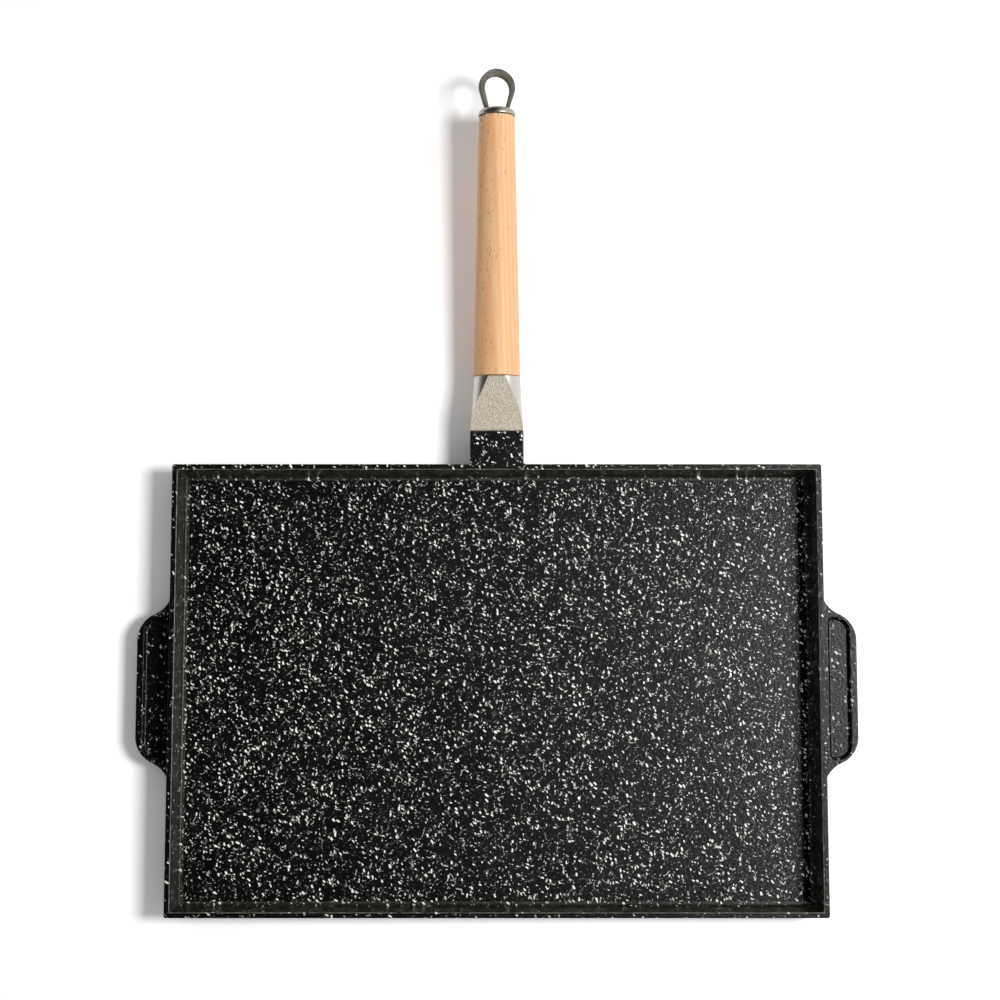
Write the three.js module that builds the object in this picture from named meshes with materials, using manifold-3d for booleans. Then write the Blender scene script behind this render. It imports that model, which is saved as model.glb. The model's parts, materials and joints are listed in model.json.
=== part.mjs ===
// Double griddle pan: one shallow cast tray that spans two burners, with a dished lug on each short
// side and a long handle clamped to a boss in the middle of one long side.
// Millimetres, +Z up. The origin is the centre of the flat underside, X runs along the long side of
// the tray and the handle points towards +Y, rising a little.

import * as THREE from 'three';
import { mergeVertices } from 'three/addons/utils/BufferGeometryUtils.js';
import Module from 'manifold-3d';

const wasm = await Module();
wasm.setup();

const { degToRad, lerp } = THREE.MathUtils;
const QUARTER_TURN = Math.PI / 2;

// Clearances
const SEAT_GAP = 0.3; // between faces that bear on each other
const THREAD_GAP = 0.15; // radial, between the rod and the tapped holes
const SLIP_GAP = 0.35; // radial, between turned pieces and their holes

// Tray
const TRAY_LENGTH = 450; // along X, over the rim
const TRAY_WIDTH = 309; // along Y, over the rim
const TRAY_HEIGHT = 30;
const FLOOR_THICKNESS = 5;
const RIM_LAND = 4.1; // width of the rim's flat top
const OUTER_DRAFT = degToRad(3);
const INNER_DRAFT = degToRad(3);
const OUTER_CORNER = 1.6;
const INNER_CORNER = 3;
const SHARPEST_CORNER = 0.8;
const BASE_EDGE = 1.5;
const RIM_OUTER_EDGE = 0.6;
const RIM_INNER_EDGE = 0.8;
const FLOOR_FILLET = 1.8;
const CASTING_OVERLAP = 2.5; // how far lugs and boss run into the tray's wall

// Side lugs
const LUG_REACH = 24.1; // out of the rim
const LUG_TIP_LENGTH = 66; // the straight stretch of the outer edge
const LUG_SHOULDER_RADIUS = 20;
const LUG_ROOT_RADIUS = 20;
const LUG_DROP = 12; // from the rim down to the lug's top
const LUG_THICKNESS = 9;
const LUG_TOP_EDGE = 0.9;
const LUG_UNDER_EDGE = 2.2;
const DISH_DEPTH = 3;
const DISH_BORDER = 4.8; // raised edge left outside the dish
const DISH_LAND = 4.2; // from the rim's line to the dish
const DISH_END = 20.7; // from the lug's root to the dish, along the wall
const DISH_CORNER = 10;
const DISH_INNER_CORNER = 3.5;
const DISH_DRAFT = degToRad(24);

// Boss and handle line
const BOSS_LENGTH = 23.5; // from the rim to the ferrule, along the top
const BOSS_WIDTH = 37.2;
const BOSS_HEIGHT = 20;
const BOSS_EDGE = 1;
const BOSS_ROOT_FILLET = 1.6;
const BOSS_WEB = 4.5; // left between the rod's hole and the tray
const HANDLE_RISE = degToRad(4);

// Ferrule
const FERRULE_LENGTH = 38.8;
const FERRULE_SQUARENESS = 6; // exponent of the section at the boss, 2 is round
const FERRULE_EASE = 2; // how soon the section turns round, 1 is evenly
const FERRULE_WALL = 2.8; // between the facets and the grip's socket
const FACET_DEPTH_AT_BOSS = 6.2; // cut off the rounded body
const FACET_DEPTH_AT_GRIP = 1.1;

// Grip
const GRIP_LENGTH = 183.8;
const GRIP_RADIUS_AT_FERRULE = 16.4;
const GRIP_RADIUS_AT_LOOP = 12.65;
const GRIP_EDGE = 0.9;
const TENON_LENGTH = 10;

// Hanging loop
const COLLAR_OVERHANG = 0.5; // beyond the grip
const COLLAR_HEIGHT = 5.1;
const COLLAR_SKIRT = 1; // straight height at the collar's foot
const COLLAR_ROOF = 2.5; // left over the tapped hole
const SPIGOT_WALL = 3.85;
const SPIGOT_LENGTH = 12;
const LOOP_HEIGHT = 28.4; // above the collar
const LOOP_THICKNESS = 5;
const LOOP_OUTER_RADIUS = 12.8;
const LOOP_CROWN = 5; // width of the bar at the top
const LOOP_SIDE = 3.5; // width of the bar at its widest span
const LOOP_LEG = 2.4; // width of the bar at its feet
const LOOP_STANCE = 8.2; // half width over the feet
const LOOP_FOOT_SINK = 1.2;
const LOOP_EDGE = 0.5;
const LOOP_CLOCKING = degToRad(14); // where the thread happened to tighten

// Tie rod and spring washer, both M6
const ROD_RADIUS = 3;
const ROD_CHAMFER = 0.6;
const BLIND_END_GAP = 1; // left at the bottom of each tapped hole
const WASHER_BAR = 2.5; // radial width of the washer's bar
const WASHER_THICKNESS = 1.6;
const WASHER_SPLIT = degToRad(14);
const WASHER_RISE = 0.5; // of one split end over the other

// Facet counts
const CORNER_STEPS = 4;
const EDGE_STEPS = 3;
const SHOULDER_STEPS = 8;
const ROUND_STEPS = 48;
const ROD_STEPS = 24;
const FERRULE_STATIONS = 12;
const WASHER_STEPS = 24;

const coating = new THREE.MeshStandardMaterial({ color: 0x1c1d1b, roughness: 0.55, metalness: 0 });
const castAluminium = new THREE.MeshStandardMaterial({ color: 0xc9c1b0, roughness: 0.5, metalness: 0.9 });
const beech = new THREE.MeshStandardMaterial({ color: 0xe2b384, roughness: 0.6, metalness: 0 });
const darkCasting = new THREE.MeshStandardMaterial({ color: 0x6b6a5f, roughness: 0.5, metalness: 0.8 });
const steel = new THREE.MeshStandardMaterial({ color: 0xb8bbbd, roughness: 0.35, metalness: 1 });
const springSteel = new THREE.MeshStandardMaterial({ color: 0x55565a, roughness: 0.4, metalness: 1 });

// Points of a circular arc, as steps + 1 plane points.
function arc(x, y, radius, from, to, steps) {
  return Array.from({ length: steps + 1 }, (_, i) => {
    const angle = lerp(from, to, i / steps);
    return new THREE.Vector2(x + radius * Math.cos(angle), y + radius * Math.sin(angle));
  });
}

// A rectangle with round corners, counterclockwise about the origin.
function roundedRectangle(halfX, halfY, radius) {
  const x = halfX - radius;
  const y = halfY - radius;
  return [
    ...arc(x, y, radius, 0, QUARTER_TURN, CORNER_STEPS),
    ...arc(-x, y, radius, QUARTER_TURN, 2 * QUARTER_TURN, CORNER_STEPS),
    ...arc(-x, -y, radius, 2 * QUARTER_TURN, 3 * QUARTER_TURN, CORNER_STEPS),
    ...arc(x, -y, radius, 3 * QUARTER_TURN, 4 * QUARTER_TURN, CORNER_STEPS),
  ];
}

// Angles over a quarter turn, for rounded edges.
const quarter = Array.from({ length: EDGE_STEPS + 1 }, (_, i) => (i / EDGE_STEPS) * QUARTER_TURN);

const atHeight = (outline, z) => outline.map((point) => new THREE.Vector3(point.x, point.y, z));

// Triangles that close a flat loop, facing the side from which the loop runs counterclockwise.
function capTriangles(loop) {
  const normal = new THREE.Vector3();
  loop.forEach((point, i) => {
    normal.add(new THREE.Vector3().crossVectors(point, loop[(i + 1) % loop.length]));
  });
  normal.normalize();
  const turn = new THREE.Quaternion().setFromUnitVectors(normal, new THREE.Vector3(0, 0, 1));
  const flat = loop.map((point) => {
    const turned = point.clone().applyQuaternion(turn);
    return new THREE.Vector2(turned.x, turned.y);
  });
  return THREE.ShapeUtils.triangulateShape(flat, []);
}

// One closed skin over loops of equal point count, capped flat at the first and last loops. The loops
// run counterclockwise as seen from the far end.
function loft(loops) {
  const count = loops[0].length;
  const triangles = [];
  for (let ring = 0; ring + 1 < loops.length; ring++) {
    for (let i = 0; i < count; i++) {
      const a = ring * count + i;
      const b = ring * count + ((i + 1) % count);
      triangles.push([a, b, b + count], [a, b + count, a + count]);
    }
  }
  const lastRing = (loops.length - 1) * count;
  capTriangles(loops[0]).forEach(([a, b, c]) => triangles.push([c, b, a]));
  capTriangles(loops.at(-1)).forEach((face) => triangles.push(face.map((i) => i + lastRing)));
  const geometry = new THREE.BufferGeometry().setFromPoints(loops.flat());
  return geometry.setIndex(triangles.flat());
}

// A profile of radius and height turned about Y. It runs upwards on the outside of the piece.
function turned(profile, steps = ROUND_STEPS) {
  const points = profile.map(([radius, y]) => new THREE.Vector2(radius, y));
  return new THREE.LatheGeometry(points, steps);
}

function solid(geometry) {
  const bare = geometry.clone();
  bare.deleteAttribute('normal');
  bare.deleteAttribute('uv');
  const merged = mergeVertices(bare);
  return new wasm.Manifold(
    new wasm.Mesh({
      numProp: 3,
      vertProperties: Float32Array.from(merged.attributes.position.array),
      triVerts: Uint32Array.from(merged.index.array),
    }),
  );
}

function mesh(name, body, material) {
  const { vertProperties, triVerts } = body.getMesh();
  const geometry = new THREE.BufferGeometry();
  geometry.setAttribute('position', new THREE.BufferAttribute(vertProperties, 3));
  geometry.setIndex(new THREE.BufferAttribute(triVerts, 1));
  geometry.computeVertexNormals();
  const piece = new THREE.Mesh(geometry, material);
  piece.name = name;
  return piece;
}

// A straight round hole along Y, between two places on the handle line.
const holeAlongY = (radius, from, to) =>
  solid(turned([[0, from], [radius, from], [radius, to], [0, to]], ROD_STEPS));

// The handle line starts at the middle of the boss's end face and climbs towards +Y. Places along it
// are measured from there.
const handleStartY = TRAY_WIDTH / 2 + BOSS_LENGTH;
const handleStartZ = TRAY_HEIGHT - BOSS_HEIGHT / 2;
const bossHoleEnd = BOSS_WEB - BOSS_LENGTH;
const rodFoot = bossHoleEnd + BLIND_END_GAP;
const gripStart = FERRULE_LENGTH + SEAT_GAP;
const tenonEnd = gripStart - TENON_LENGTH;
const socketFloor = tenonEnd - SEAT_GAP;
const gripEnd = gripStart + GRIP_LENGTH;
const collarFoot = gripEnd + SEAT_GAP;
const collarTop = collarFoot + COLLAR_HEIGHT;
const loopHoleEnd = collarTop - COLLAR_ROOF;
const rodTop = loopHoleEnd - BLIND_END_GAP;
const spigotEnd = collarFoot - SPIGOT_LENGTH;
const washerFoot = spigotEnd - SEAT_GAP - WASHER_THICKNESS - WASHER_RISE;
const pocketFloor = washerFoot - SEAT_GAP;

// Radii about the handle line
const tappedRadius = ROD_RADIUS + THREAD_GAP;
const clearRadius = ROD_RADIUS + SLIP_GAP;
const spigotRadius = tappedRadius + SPIGOT_WALL;
const washerRadius = clearRadius + WASHER_BAR;
const pocketRadius = Math.max(spigotRadius, washerRadius) + SLIP_GAP;

// Height of the ferrule's facets above the handle line
const facetAtBoss = BOSS_HEIGHT / 2;
const facetAtGrip = GRIP_RADIUS_AT_FERRULE - FACET_DEPTH_AT_GRIP;
const facetAtSocketFloor = lerp(facetAtBoss, facetAtGrip, socketFloor / FERRULE_LENGTH);
const socketRadius = facetAtSocketFloor - FERRULE_WALL;
const tenonRadius = socketRadius - SLIP_GAP;

function onHandleLine(object) {
  object.rotation.x = HANDLE_RISE;
  object.position.set(0, handleStartY, handleStartZ);
  object.updateMatrix();
  return object;
}

// The tray is one skin that climbs the drafted outside, turns over the rim and runs down to the floor.
function tray() {
  const outerInset = (z) => (TRAY_HEIGHT - z) * Math.tan(OUTER_DRAFT);
  const innerInset = (z) => RIM_LAND + (TRAY_HEIGHT - RIM_INNER_EDGE - z) * Math.tan(INNER_DRAFT);
  const rimStart = TRAY_HEIGHT - RIM_OUTER_EDGE;
  const filletStart = FLOOR_THICKNESS + FLOOR_FILLET;
  const ring = (inset, z, corner) => {
    const outline = roundedRectangle(TRAY_LENGTH / 2 - inset, TRAY_WIDTH / 2 - inset, corner);
    return atHeight(outline, z);
  };
  const innerCorner = (inset) => Math.max(INNER_CORNER - (inset - RIM_LAND), SHARPEST_CORNER);
  return solid(
    loft([
      ...quarter.map((t) => {
        const inset = outerInset(BASE_EDGE) + BASE_EDGE * (1 - Math.sin(t));
        return ring(inset, BASE_EDGE * (1 - Math.cos(t)), OUTER_CORNER);
      }),
      ...quarter.map((t) => {
        const inset = outerInset(rimStart) + RIM_OUTER_EDGE * (1 - Math.cos(t));
        return ring(inset, rimStart + RIM_OUTER_EDGE * Math.sin(t), OUTER_CORNER);
      }),
      ...quarter.map((t) => {
        const inset = RIM_LAND - RIM_INNER_EDGE * (1 - Math.sin(t));
        return ring(inset, TRAY_HEIGHT - RIM_INNER_EDGE * (1 - Math.cos(t)), INNER_CORNER);
      }),
      ...quarter.map((t) => {
        const inset = innerInset(filletStart) + FLOOR_FILLET * (1 - Math.cos(t));
        return ring(inset, filletStart - FLOOR_FILLET * Math.sin(t), innerCorner(inset));
      }),
    ]),
  );
}

// The lug's shoulder and its hollow root are two arcs that touch, and the root runs out along the wall.
const lugRadii = LUG_SHOULDER_RADIUS + LUG_ROOT_RADIUS;
const lugFacing = Math.acos(1 - LUG_REACH / lugRadii); // direction that the outline faces there, from X
const lugRootHalf = LUG_TIP_LENGTH / 2 + lugRadii * Math.sin(lugFacing);

// Outline of the lug on the +X side: a straight outer edge, round shoulders and hollow roots. An inset
// draws it in evenly.
function lugOutline(inset) {
  const wall = TRAY_LENGTH / 2;
  const shoulderX = wall + LUG_REACH - LUG_SHOULDER_RADIUS;
  const rootX = wall + LUG_ROOT_RADIUS;
  const shoulderRadius = LUG_SHOULDER_RADIUS - inset;
  const rootRadius = LUG_ROOT_RADIUS + inset;
  const upper = [
    ...arc(shoulderX, LUG_TIP_LENGTH / 2, shoulderRadius, 0, lugFacing, SHOULDER_STEPS),
    ...arc(rootX, lugRootHalf, rootRadius, lugFacing + Math.PI, Math.PI, SHOULDER_STEPS).slice(1),
    new THREE.Vector2(wall - CASTING_OVERLAP, lugRootHalf),
  ];
  const lower = upper.map((point) => new THREE.Vector2(point.x, -point.y)).reverse();
  return [...upper, ...lower];
}

// Outline of the dish in the lug's top: square to the tray's wall, with large outer corners and small
// inner ones, each limited by the dish's width.
function dishOutline(inset) {
  const innerEdge = TRAY_LENGTH / 2 + DISH_LAND;
  const outerEdge = TRAY_LENGTH / 2 + LUG_REACH - DISH_BORDER;
  const half = lugRootHalf - DISH_END;
  const outer = Math.min(DISH_CORNER, 0.7 * (outerEdge - innerEdge));
  const inner = Math.min(DISH_INNER_CORNER, 0.25 * (outerEdge - innerEdge));
  const upper = [
    ...arc(outerEdge - outer, half - outer, outer - inset, 0, QUARTER_TURN, SHOULDER_STEPS),
    ...arc(innerEdge + inner, half - inner, inner - inset, QUARTER_TURN, 2 * QUARTER_TURN, CORNER_STEPS),
  ];
  const lower = upper.map((point) => new THREE.Vector2(point.x, -point.y)).reverse();
  return [...upper, ...lower];
}

// A lug is a rounded plate below the rim, with a drafted dish in its top.
function lug() {
  const top = TRAY_HEIGHT - LUG_DROP;
  const under = top - LUG_THICKNESS;
  const plate = loft([
    ...quarter.map((t) => {
      const outline = lugOutline(LUG_UNDER_EDGE * (1 - Math.sin(t)));
      return atHeight(outline, under + LUG_UNDER_EDGE * (1 - Math.cos(t)));
    }),
    ...quarter.map((t) => {
      const outline = lugOutline(LUG_TOP_EDGE * (1 - Math.cos(t)));
      return atHeight(outline, top - LUG_TOP_EDGE * (1 - Math.sin(t)));
    }),
  ]);
  const slope = Math.tan(DISH_DRAFT);
  const dish = loft([
    atHeight(dishOutline(DISH_DEPTH * slope), top - DISH_DEPTH),
    atHeight(dishOutline(-DISH_DEPTH * slope), top + DISH_DEPTH),
  ]);
  return solid(plate).subtract(solid(dish));
}

// The boss is level with the rim. It swells where it leaves the wall, and its end is square to the
// handle line.
function boss() {
  const section = (swell, yAt) => {
    const half = BOSS_HEIGHT / 2;
    const outline = roundedRectangle(BOSS_WIDTH / 2 + swell, half + swell / 2, BOSS_EDGE);
    return outline.map(({ x, y }) => {
      const z = handleStartZ - swell / 2 + y;
      return new THREE.Vector3(-x, yAt(z), z);
    });
  };
  const wall = TRAY_WIDTH / 2;
  return solid(
    loft([
      section(BOSS_ROOT_FILLET, () => wall - CASTING_OVERLAP),
      ...quarter.map((t) => {
        const swell = BOSS_ROOT_FILLET * (1 - Math.sin(t));
        return section(swell, () => wall + BOSS_ROOT_FILLET * (1 - Math.cos(t)));
      }),
      section(0, (z) => handleStartY - (z - handleStartZ) * Math.tan(HANDLE_RISE)),
    ]),
  );
}

function panCasting() {
  const rodHole = holeAlongY(tappedRadius, bossHoleEnd, BOSS_LENGTH);
  const placedHole = rodHole.transform(onHandleLine(new THREE.Object3D()).matrix.elements);
  const body = tray().add(lug()).add(lug().mirror([1, 0, 0])).add(boss()).subtract(placedHole);
  return mesh('pan_casting', body, coating);
}

// The ferrule changes from the boss's block to the grip's round. Its width and height change evenly
// between the two sections, its corners turn round sooner, and a flat facet is cut on its top and
// underside.
function ferrule() {
  const section = (share) => {
    const exponent = lerp(2, FERRULE_SQUARENESS, (1 - share) ** FERRULE_EASE);
    const halfWidth = lerp(BOSS_WIDTH / 2, GRIP_RADIUS_AT_FERRULE, share);
    const halfHeight = lerp(facetAtBoss + FACET_DEPTH_AT_BOSS, GRIP_RADIUS_AT_FERRULE, share);
    const squared = (value) => Math.sign(value) * Math.abs(value) ** (2 / exponent);
    return arc(0, 0, 1, 0, 4 * QUARTER_TURN, ROUND_STEPS).slice(1).map((point) => {
      const y = lerp(SEAT_GAP, FERRULE_LENGTH, share);
      return new THREE.Vector3(-halfWidth * squared(point.x), y, halfHeight * squared(point.y));
    });
  };
  const stations = Array.from({ length: FERRULE_STATIONS + 1 }, (_, i) => i / FERRULE_STATIONS);
  const body = solid(loft(stations.map(section)));
  const side = new THREE.Shape([
    new THREE.Vector2(0, -facetAtBoss),
    new THREE.Vector2(FERRULE_LENGTH, -facetAtGrip),
    new THREE.Vector2(FERRULE_LENGTH, facetAtGrip),
    new THREE.Vector2(0, facetAtBoss),
  ]);
  const facets = new THREE.ExtrudeGeometry(side, { depth: 2 * BOSS_WIDTH, bevelEnabled: false });
  facets.translate(0, 0, -BOSS_WIDTH);
  facets.applyMatrix4(new THREE.Matrix4().makeBasis(
    new THREE.Vector3(0, 1, 0),
    new THREE.Vector3(0, 0, 1),
    new THREE.Vector3(1, 0, 0),
  ));
  const rodHole = holeAlongY(clearRadius, -FERRULE_LENGTH, 2 * FERRULE_LENGTH);
  const socket = holeAlongY(socketRadius, socketFloor, 2 * FERRULE_LENGTH);
  return mesh('ferrule', body.intersect(solid(facets)).subtract(rodHole).subtract(socket), castAluminium);
}

// The grip is turned from one length of wood: a tenon for the ferrule, a tapered barrel with broken
// edges, a clear bore for the rod and a pocket for the loop's spigot.
function handleGrip() {
  const brokenEdge = (radius, y, from, to) =>
    arc(radius - GRIP_EDGE, y, GRIP_EDGE, from, to, EDGE_STEPS).map((point) => point.toArray());
  const profile = [
    [clearRadius, tenonEnd],
    [tenonRadius, tenonEnd],
    [tenonRadius, gripStart],
    ...brokenEdge(GRIP_RADIUS_AT_FERRULE, gripStart + GRIP_EDGE, -QUARTER_TURN, 0),
    ...brokenEdge(GRIP_RADIUS_AT_LOOP, gripEnd - GRIP_EDGE, 0, QUARTER_TURN),
    [pocketRadius, gripEnd],
    [pocketRadius, pocketFloor],
    [clearRadius, pocketFloor],
    [clearRadius, tenonEnd],
  ];
  return mesh('handle_grip', solid(turned(profile)), beech);
}

// Angle at which a leg's edge touches a circle on the loop's middle line, from a foot at footX that
// lies below the circle's centre by drop.
function touchAngle(footX, drop, radius) {
  return Math.atan2(-drop, footX) + Math.acos(radius / Math.hypot(footX, drop));
}

// The loop is one casting: a domed collar, a spigot below it with a tapped blind hole, and a flat
// horseshoe whose legs draw in towards the collar.
function hangingLoop() {
  const collarRadius = GRIP_RADIUS_AT_LOOP + COLLAR_OVERHANG;
  const collarTopRadius = Math.hypot(LOOP_STANCE, LOOP_THICKNESS / 2);
  const dome = arc(0, 0, 1, 0, QUARTER_TURN, 2 * EDGE_STEPS).map(({ x, y }) => [
    lerp(collarTopRadius, collarRadius, x),
    lerp(collarFoot + COLLAR_SKIRT, collarTop, y),
  ]);
  const collar = turned([
    [0, spigotEnd],
    [spigotRadius, spigotEnd],
    [spigotRadius, collarFoot],
    [collarRadius, collarFoot],
    ...dome,
    [0, collarTop],
  ]);

  const innerRadius = LOOP_OUTER_RADIUS - LOOP_SIDE;
  const innerStance = LOOP_STANCE - LOOP_LEG;
  const outerCentre = LOOP_HEIGHT - LOOP_OUTER_RADIUS;
  const innerCentre = LOOP_HEIGHT - LOOP_CROWN - innerRadius;
  const outerTouch = touchAngle(LOOP_STANCE, outerCentre + LOOP_FOOT_SINK, LOOP_OUTER_RADIUS);
  const innerTouch = touchAngle(innerStance, innerCentre + LOOP_FOOT_SINK, innerRadius);
  const horseshoe = new THREE.Shape([
    new THREE.Vector2(LOOP_STANCE, -LOOP_FOOT_SINK),
    ...arc(0, outerCentre, LOOP_OUTER_RADIUS, outerTouch, Math.PI - outerTouch, ROUND_STEPS / 2),
    new THREE.Vector2(-LOOP_STANCE, -LOOP_FOOT_SINK),
    new THREE.Vector2(-innerStance, -LOOP_FOOT_SINK),
    ...arc(0, innerCentre, innerRadius, Math.PI - innerTouch, innerTouch, ROUND_STEPS / 2),
    new THREE.Vector2(innerStance, -LOOP_FOOT_SINK),
  ]);
  const bar = new THREE.ExtrudeGeometry(horseshoe, {
    depth: LOOP_THICKNESS - 2 * LOOP_EDGE,
    bevelThickness: LOOP_EDGE,
    bevelSize: LOOP_EDGE,
    bevelOffset: -LOOP_EDGE,
    bevelSegments: 2,
  });
  bar.translate(0, collarTop, LOOP_EDGE - LOOP_THICKNESS / 2);

  const tapped = holeAlongY(tappedRadius, spigotEnd - COLLAR_HEIGHT, loopHoleEnd);
  const piece = mesh('hanging_loop', solid(collar).add(solid(bar)).subtract(tapped), darkCasting);
  piece.rotation.y = LOOP_CLOCKING;
  return piece;
}

// The rod is screwed into the boss and runs through the ferrule and the grip into the loop.
function tieRod() {
  const profile = [
    [0, rodFoot],
    [ROD_RADIUS - ROD_CHAMFER, rodFoot],
    [ROD_RADIUS, rodFoot + ROD_CHAMFER],
    [ROD_RADIUS, rodTop - ROD_CHAMFER],
    [ROD_RADIUS - ROD_CHAMFER, rodTop],
    [0, rodTop],
  ];
  return mesh('tie_rod', solid(turned(profile, ROD_STEPS)), steel);
}

// The washer is a square bar bent round the rod, split, with its ends sprung apart.
function springWasher() {
  const stations = Array.from({ length: WASHER_STEPS + 1 }, (_, i) => i / WASHER_STEPS);
  const section = (share) => {
    const angle = lerp(WASHER_SPLIT / 2, 2 * Math.PI - WASHER_SPLIT / 2, share);
    const low = washerFoot + WASHER_RISE * share;
    const high = low + WASHER_THICKNESS;
    const corner = (radius, y) => new THREE.Vector3(radius * Math.sin(angle), y, radius * Math.cos(angle));
    return [
      corner(clearRadius, high),
      corner(washerRadius, high),
      corner(washerRadius, low),
      corner(clearRadius, low),
    ];
  };
  return mesh('spring_washer', solid(loft(stations.map(section))), springSteel);
}

const handle = onHandleLine(new THREE.Group());
handle.add(ferrule(), handleGrip(), hangingLoop(), tieRod(), springWasher());

const pan = new THREE.Group();
pan.add(panCasting(), handle);

export default pan;
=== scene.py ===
import json
import math

import bpy
import numpy as np
from mathutils import Matrix, Vector


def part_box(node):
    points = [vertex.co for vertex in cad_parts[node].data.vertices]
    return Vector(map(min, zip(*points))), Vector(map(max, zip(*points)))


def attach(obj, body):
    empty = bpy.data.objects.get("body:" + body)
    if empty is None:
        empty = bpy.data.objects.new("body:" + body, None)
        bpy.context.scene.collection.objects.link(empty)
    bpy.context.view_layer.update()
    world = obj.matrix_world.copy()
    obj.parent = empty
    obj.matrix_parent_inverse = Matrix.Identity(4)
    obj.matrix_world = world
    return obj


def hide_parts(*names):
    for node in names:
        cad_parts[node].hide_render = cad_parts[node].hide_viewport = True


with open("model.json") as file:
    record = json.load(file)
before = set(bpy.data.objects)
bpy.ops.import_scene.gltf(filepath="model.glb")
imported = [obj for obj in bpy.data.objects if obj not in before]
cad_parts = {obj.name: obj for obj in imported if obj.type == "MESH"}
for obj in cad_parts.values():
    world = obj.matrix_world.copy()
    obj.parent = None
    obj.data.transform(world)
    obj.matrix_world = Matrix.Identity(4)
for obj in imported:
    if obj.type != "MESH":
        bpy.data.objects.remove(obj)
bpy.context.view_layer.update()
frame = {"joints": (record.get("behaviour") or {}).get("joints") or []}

# The pan: one die-cast aluminium piece, a shallow tray with a dished lug on each short side and a
# square boss for the handle. It is sprayed all over with a black non-stick coating full of pale
# flecks. The tray stands on its flat underside.

MM = 0.001
CORNER_STEPS = 10
EDGE_STEPS = 6
SHOULDER_STEPS = 20

TRAY_LENGTH = 450 * MM
TRAY_WIDTH = 309 * MM
TRAY_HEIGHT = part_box("pan_casting")[1].z
FLOOR_THICKNESS = 5 * MM
RIM_LAND = 4.1 * MM
DRAFT = math.tan(math.radians(3))
OUTER_CORNER = 1.6 * MM
INNER_CORNER = 3 * MM
SHARPEST_CORNER = 0.8 * MM
BASE_EDGE = 1.5 * MM
RIM_OUTER_EDGE = 0.6 * MM
RIM_INNER_EDGE = 0.8 * MM
FLOOR_FILLET = 1.8 * MM
INNER_FOOT = RIM_LAND + (TRAY_HEIGHT - RIM_INNER_EDGE - FLOOR_THICKNESS - FLOOR_FILLET) * DRAFT
CASTING_OVERLAP = 2.5 * MM

LUG_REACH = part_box("pan_casting")[1].x - TRAY_LENGTH / 2
LUG_TIP_LENGTH = 66 * MM
LUG_SHOULDER_RADIUS = 20 * MM
LUG_ROOT_RADIUS = 20 * MM
LUG_DROP = 12 * MM
LUG_THICKNESS = 9 * MM
LUG_TOP_EDGE = 0.9 * MM
LUG_UNDER_EDGE = 2.2 * MM
DISH_DEPTH = 3 * MM
DISH_BORDER = 4.8 * MM
DISH_LAND = 4.2 * MM
DISH_END = 20.7 * MM
DISH_CORNER = 10 * MM
DISH_INNER_CORNER = 3.5 * MM
DISH_DRAFT = math.radians(24)
DISH_LIP = 0.6 * MM
DISH_FILLET = 1.2 * MM

BOSS_WIDTH = 37.2 * MM
BOSS_HEIGHT = 20 * MM
BOSS_EDGE = 1 * MM
BOSS_ROOT_FILLET = 1.6 * MM
BOSS_END_EDGE = 0.3 * MM

COATING_BLACK = (0.0006, 0.0006, 0.0005, 1)
COATING_GREY = (0.0016, 0.0016, 0.0013, 1)
FLECK_WHITE = (1.0, 0.98, 0.93, 1)
# Pale metal colour: rubbed metal at the rim's inner edge, and also the colour of the painted highlight and
# painted sheen inside the tray.
RUBBED_METAL_AND_PAINTED_LIGHT = (0.62, 0.56, 0.45, 1)
FLECK_TILT = (0.7, 0.5, 0.3)
BOSS_FLECKS = 0.7
# The coating's fades and insets are in millimetres, as its coordinates are.
FLOOR_FADE = 1.0
BOSS_FADE = 4.0
RIM_LINE_FADE = (0.45, 0.15)
# The rim line is rubbed metal and a painted highlight together, the foot line a painted highlight, and the
# wall tint a painted sheen.
RIM_LINE_WEAR_AND_HIGHLIGHT = 0.25
FOOT_LINE_INSET = 0.7
FOOT_LINE_FADE = (1.0, 0.4)
FOOT_LINE_HIGHLIGHT = 0.08
WALL_SHEEN = 0.03

quarter = np.linspace(0, np.pi / 2, EDGE_STEPS + 1)


def closed_skin(rings, loop_back=False):
    """Points and faces of a tube over an array of rings: quads join each ring to the next, and each
    ring to itself. With loop_back the last ring joins the first, otherwise flat faces close the ends.
    The rings run counterclockwise as seen from the last one, so that the faces point outwards."""
    index = np.arange(rings.shape[0] * rings.shape[1]).reshape(rings.shape[:2])
    rows = np.concatenate([index, index[:1]]) if loop_back else index
    along = np.roll(rows, -1, axis=1)
    quads = np.stack([rows[:-1], along[:-1], along[1:], rows[1:]], axis=-1)
    faces = quads.reshape(-1, 4).tolist()
    if not loop_back:
        faces += [index[0, ::-1].tolist(), index[-1].tolist()]
    return rings.reshape(-1, 3), faces


def new_piece(name, skin, sharp=30):
    """An object at the origin with a smooth mesh, creased where faces meet at more than sharp degrees."""
    points, faces = skin
    mesh = bpy.data.meshes.new(name)
    mesh.from_pydata(points.tolist(), [], faces)
    mesh.polygons.foreach_set("use_smooth", np.ones(len(faces), bool))
    mesh.set_sharp_from_angle(angle=math.radians(sharp))
    piece = bpy.data.objects.new(name, mesh)
    bpy.context.scene.collection.objects.link(piece)
    return piece


def unite(piece, others, sharp=30):
    """Makes a piece one closed mesh with others that reach into it, creased again where faces meet at
    more than sharp degrees, and removes the others."""
    for other in others:
        step = piece.modifiers.new(other.name, "BOOLEAN")
        step.operation = "UNION"
        step.solver = "MANIFOLD"
        step.object = other
    evaluated = piece.evaluated_get(bpy.context.evaluated_depsgraph_get())
    mesh = bpy.data.meshes.new_from_object(evaluated)
    mesh.set_sharp_from_angle(angle=math.radians(sharp))
    mesh.materials.clear()
    piece.modifiers.clear()
    piece.data = mesh
    for other in others:
        bpy.data.objects.remove(other)


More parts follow.
